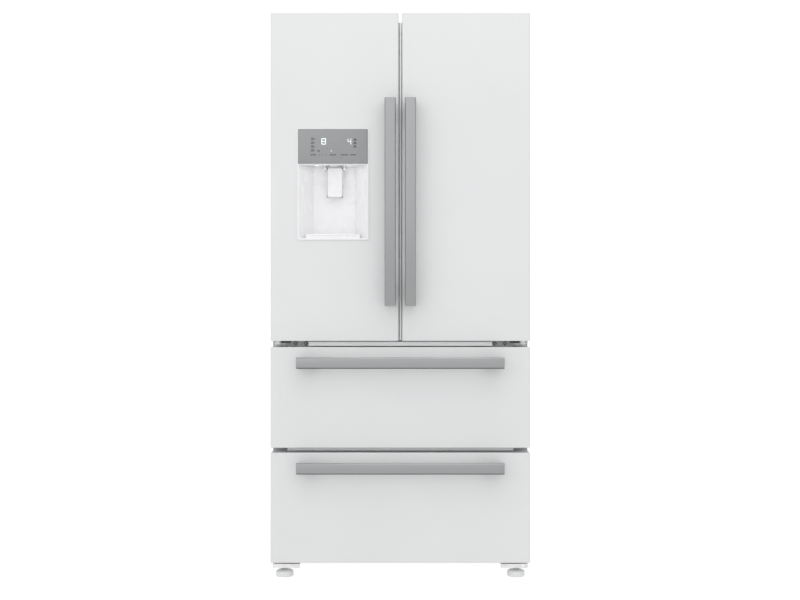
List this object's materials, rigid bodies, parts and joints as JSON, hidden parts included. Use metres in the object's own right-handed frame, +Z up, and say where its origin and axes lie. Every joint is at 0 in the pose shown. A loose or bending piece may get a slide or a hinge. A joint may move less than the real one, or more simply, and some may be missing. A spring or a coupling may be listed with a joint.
{
  "type": "french door refrigerator",
  "caption": "Tall refrigerator with side-hinged upper doors, a folding centre mullion, a water dispenser in the left door and pull-out freezer drawers below.",
  "frame": {"origin": "on the floor, at the middle of the footprint box from handles to back", "axes": "+X to the right seen from the front, +Y to the back, +Z up"},
  "size_m": [0.84, 0.745, 1.83],
  "materials": {
    "cabinet_paint": "satin",
    "door_enamel": "satin",
    "insulating_foam": "matte",
    "drawer_core": "satin",
    "liner_plastic": "gloss",
    "cap_plastic": "matte",
    "gasket_rubber": "matte",
    "handle_metal": "brushed",
    "zinc_steel": "satin",
    "shelf_glass": "polished",
    "clear_plastic": "gloss",
    "coil_metal": "satin",
    "black_steel": "satin",
    "dark_plastic": "matte",
    "panel_plastic": "gloss",
    "housing_plastic": "gloss",
    "mullion_skin": "satin",
    "foot_plastic": "satin",
    "roller_plastic": "matte"
  },
  "bodies": {
    "cabinet": {"cabinet_wrapper": "cabinet_paint", "cabinet_insulation": "insulating_foam", "fridge_liner": "liner_plastic", "freezer_liner": "liner_plastic", "crossbeams": "zinc_steel", "base_frame": "zinc_steel", "door_hinges": "zinc_steel", "hinge_covers": "cabinet_paint", "mullion_guides": "liner_plastic", "glass_shelves": "shelf_glass", "shelf_trims": "liner_plastic", "crispers": "clear_plastic", "air_ducts": "liner_plastic", "evaporator": "coil_metal", "compressor": "black_steel", "condenser": "coil_metal", "machine_cover": "dark_plastic", "fixed_rails": "zinc_steel"},
    "evaporator_fan": {"evaporator_fan": "dark_plastic"},
    "condenser_fan": {"condenser_fan": "dark_plastic"},
    "left_door": {"left_door_skin": "door_enamel", "left_door_caps": "cap_plastic", "left_door_liner": "liner_plastic", "left_door_insulation": "insulating_foam", "left_door_gasket": "gasket_rubber", "left_door_handle": "handle_metal", "left_door_bins": "clear_plastic", "control_panel": "panel_plastic", "dispenser_housing": "housing_plastic", "water_tap": "housing_plastic", "water_tank": "clear_plastic"},
    "mullion": {"mullion_beam": "mullion_skin"},
    "dispenser_paddle": {"dispenser_paddle": "housing_plastic"},
    "drip_tray": {"drip_tray": "housing_plastic"},
    "right_door": {"right_door_skin": "door_enamel", "right_door_caps": "cap_plastic", "right_door_liner": "liner_plastic", "right_door_insulation": "insulating_foam", "right_door_gasket": "gasket_rubber", "right_door_handle": "handle_metal", "right_door_bins": "clear_plastic"},
    "dairy_cover": {"dairy_cover": "clear_plastic"},
    "upper_drawer": {"upper_drawer_skin": "door_enamel", "upper_drawer_core": "drawer_core", "upper_drawer_gasket": "gasket_rubber", "upper_drawer_handle": "handle_metal", "upper_basket": "liner_plastic", "upper_drawer_rails": "zinc_steel"},
    "upper_middle_rails": {"upper_middle_rails": "zinc_steel"},
    "lower_drawer": {"lower_drawer_skin": "door_enamel", "lower_drawer_core": "drawer_core", "lower_drawer_gasket": "gasket_rubber", "lower_drawer_handle": "handle_metal", "lower_basket": "liner_plastic", "lower_drawer_rails": "zinc_steel"},
    "lower_middle_rails": {"lower_middle_rails": "zinc_steel"},
    "left_foot": {"left_foot": "foot_plastic"},
    "right_foot": {"right_foot": "foot_plastic"},
    "left_roller": {"left_roller": "roller_plastic"},
    "right_roller": {"right_roller": "roller_plastic"}
  },
  "joints": [
    {"name": "left_door_hinge", "type": "hinge", "parent": "cabinet", "child": "left_door", "pos_m": [-0.398, -0.2805, 0.77], "axis": [0, 0, -1], "range_deg": [0, 105]},
    {"name": "right_door_hinge", "type": "hinge", "parent": "cabinet", "child": "right_door", "pos_m": [0.398, -0.2805, 0.77], "axis": [0, 0, 1], "range_deg": [0, 105]},
    {"name": "mullion_hinge", "type": "hinge", "parent": "left_door", "child": "mullion", "pos_m": [-0.04, -0.2311, 0.80775], "axis": [0, 0, 1], "range_deg": [0, 90]},
    {"name": "paddle_hinge", "type": "hinge", "parent": "left_door", "child": "dispenser_paddle", "pos_m": [-0.214, -0.2625, 1.333], "axis": [1, 0, 0], "range_deg": [0, 8], "stiffness_Nm_per_rad": 0.4, "springref_deg": -2.86},
    {"name": "drip_tray_slide", "type": "slide", "parent": "left_door", "child": "drip_tray", "axis": [0, -1, 0], "range_m": [0, 0.08]},
    {"name": "dairy_cover_hinge", "type": "hinge", "parent": "right_door", "child": "dairy_cover", "pos_m": [0.206, -0.2405, 1.699], "axis": [1, 0, 0], "range_deg": [0, 45]},
    {"name": "upper_drawer_slide", "type": "slide", "parent": "cabinet", "child": "upper_drawer", "axis": [0, -1, 0], "range_m": [0, 0.4]},
    {"name": "upper_middle_rail_slide", "type": "slide", "parent": "cabinet", "child": "upper_middle_rails", "axis": [0, -1, 0], "range_m": [0, 0.2]},
    {"name": "lower_drawer_slide", "type": "slide", "parent": "cabinet", "child": "lower_drawer", "axis": [0, -1, 0], "range_m": [0, 0.33]},
    {"name": "lower_middle_rail_slide", "type": "slide", "parent": "cabinet", "child": "lower_middle_rails", "axis": [0, -1, 0], "range_m": [0, 0.165]},
    {"name": "left_foot_screw", "type": "hinge", "parent": "cabinet", "child": "left_foot", "pos_m": [-0.378, -0.2625, 0], "axis": [0, 0, 1], "continuous": true},
    {"name": "right_foot_screw", "type": "hinge", "parent": "cabinet", "child": "right_foot", "pos_m": [0.378, -0.2625, 0], "axis": [0, 0, 1], "continuous": true},
    {"name": "left_roller_axle", "type": "hinge", "parent": "cabinet", "child": "left_roller", "pos_m": [-0.36, 0.3005, 0.022], "axis": [1, 0, 0], "continuous": true},
    {"name": "right_roller_axle", "type": "hinge", "parent": "cabinet", "child": "right_roller", "pos_m": [0.36, 0.3005, 0.022], "axis": [1, 0, 0], "continuous": true},
    {"name": "condenser_fan_axle", "type": "hinge", "parent": "cabinet", "child": "condenser_fan", "pos_m": [0.052, 0.27925, 0.152], "axis": [1, 0, 0], "continuous": true},
    {"name": "evaporator_fan_axle", "type": "hinge", "parent": "cabinet", "child": "evaporator_fan", "pos_m": [0, 0.253, 0.64075], "axis": [0, 1, 0], "continuous": true}
  ],
  "couplings": [
    {"joint": "upper_middle_rail_slide", "follows": "upper_drawer_slide", "ratio": 0.5},
    {"joint": "lower_middle_rail_slide", "follows": "lower_drawer_slide", "ratio": 0.5}
  ]
}
